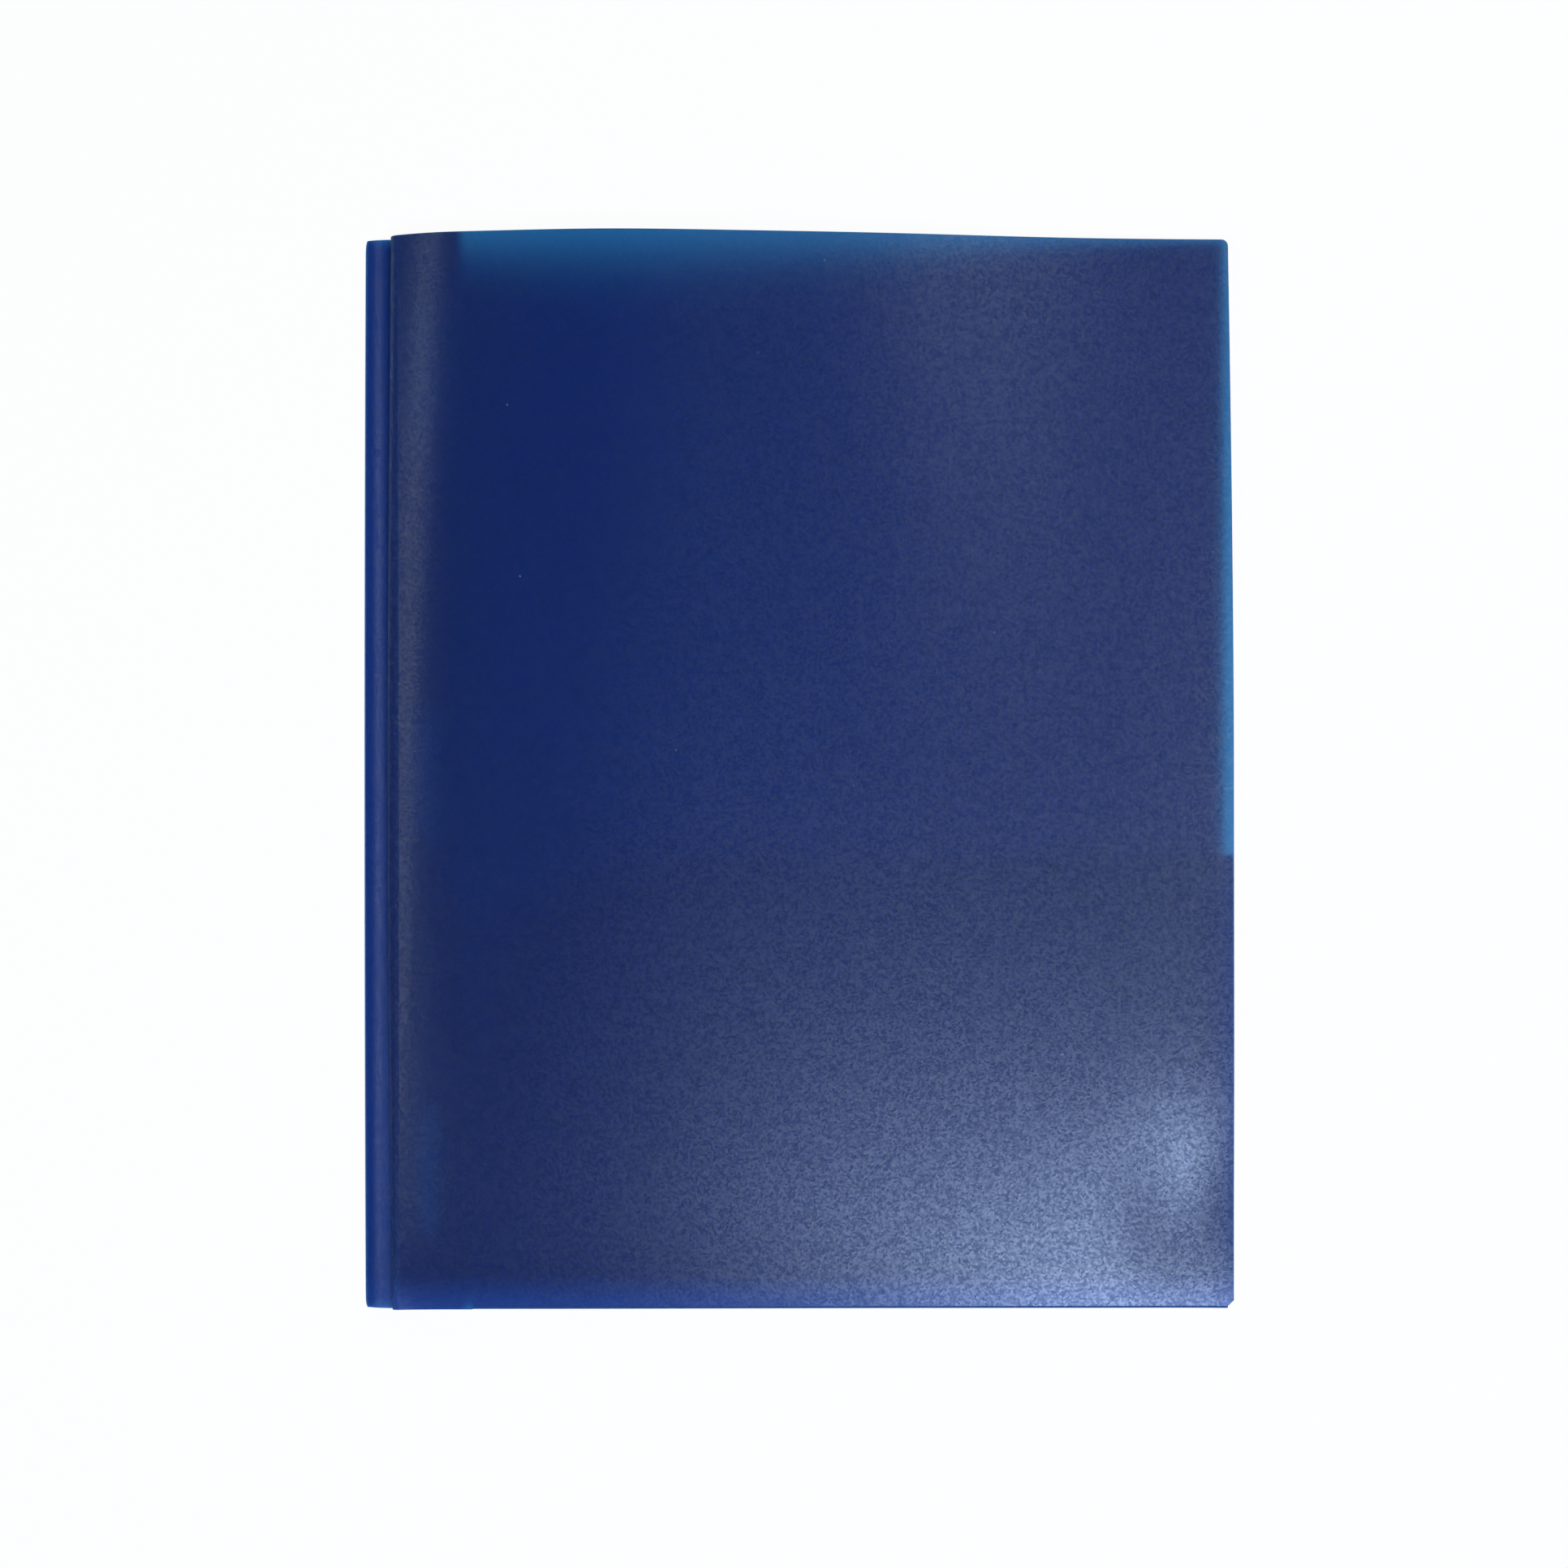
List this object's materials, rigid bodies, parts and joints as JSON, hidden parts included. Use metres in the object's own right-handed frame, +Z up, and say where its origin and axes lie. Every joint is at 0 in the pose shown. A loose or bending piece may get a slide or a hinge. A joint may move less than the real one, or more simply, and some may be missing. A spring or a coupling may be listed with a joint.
{
  "type": "two pocket folder",
  "caption": "Closed plastic sheet folder with a pocket inside each cover, a folded spine strip and metal fasteners on a binding strip; the front cover arches at the top.",
  "frame": {"origin": "middle of the closed folder's footprint, on the surface that it lies on", "axes": "+X from the spine to the free edges, +Y to the top edge, +Z up out of the front cover"},
  "size_m": [0.238, 0.2922, 0.0171],
  "materials": {
    "folder_sheet": "translucent navy polypropylene with a fine sand texture",
    "fastener_steel": "bright nickel plated strip steel"
  },
  "bodies": {
    "back_cover": {"back_cover": "folder_sheet", "back_pocket": "folder_sheet", "back_pocket_fold": "folder_sheet", "back_pocket_weld": "folder_sheet", "back_crease": "folder_sheet"},
    "spine": {"spine_panel": "folder_sheet", "spine_crease": "folder_sheet"},
    "binding_strip": {"binding_lower": "folder_sheet", "binding_tip": "folder_sheet", "binding_upper": "folder_sheet", "front_roll": "folder_sheet", "fastener_top": "fastener_steel", "fastener_middle": "fastener_steel", "fastener_bottom": "fastener_steel"},
    "front_cover": {"front_cover": "folder_sheet", "front_pocket": "folder_sheet", "front_pocket_fold": "folder_sheet", "front_pocket_weld": "folder_sheet"}
  },
  "joints": [
    {"name": "spine_swing", "type": "hinge", "parent": "back_cover", "child": "spine", "pos_m": [-0.1176, 0, 0.0014], "axis": [0, -1, 0], "range_deg": [0, 180], "deforming": ["back_crease"]},
    {"name": "binding_level", "type": "hinge", "parent": "spine", "child": "binding_strip", "pos_m": [-0.1095, 0, 0.0014], "axis": [0, -1, 0], "range_deg": [-180, 0], "deforming": ["spine_crease"]},
    {"name": "front_cover_swing", "type": "hinge", "parent": "binding_strip", "child": "front_cover", "pos_m": [-0.1097, 0, 0.006], "axis": [0, -0.9999, -0.011], "range_deg": [0, 175], "deforming": ["front_roll"]}
  ],
  "couplings": [
    {"joint": "binding_level", "follows": "spine_swing", "ratio": -1}
  ]
}
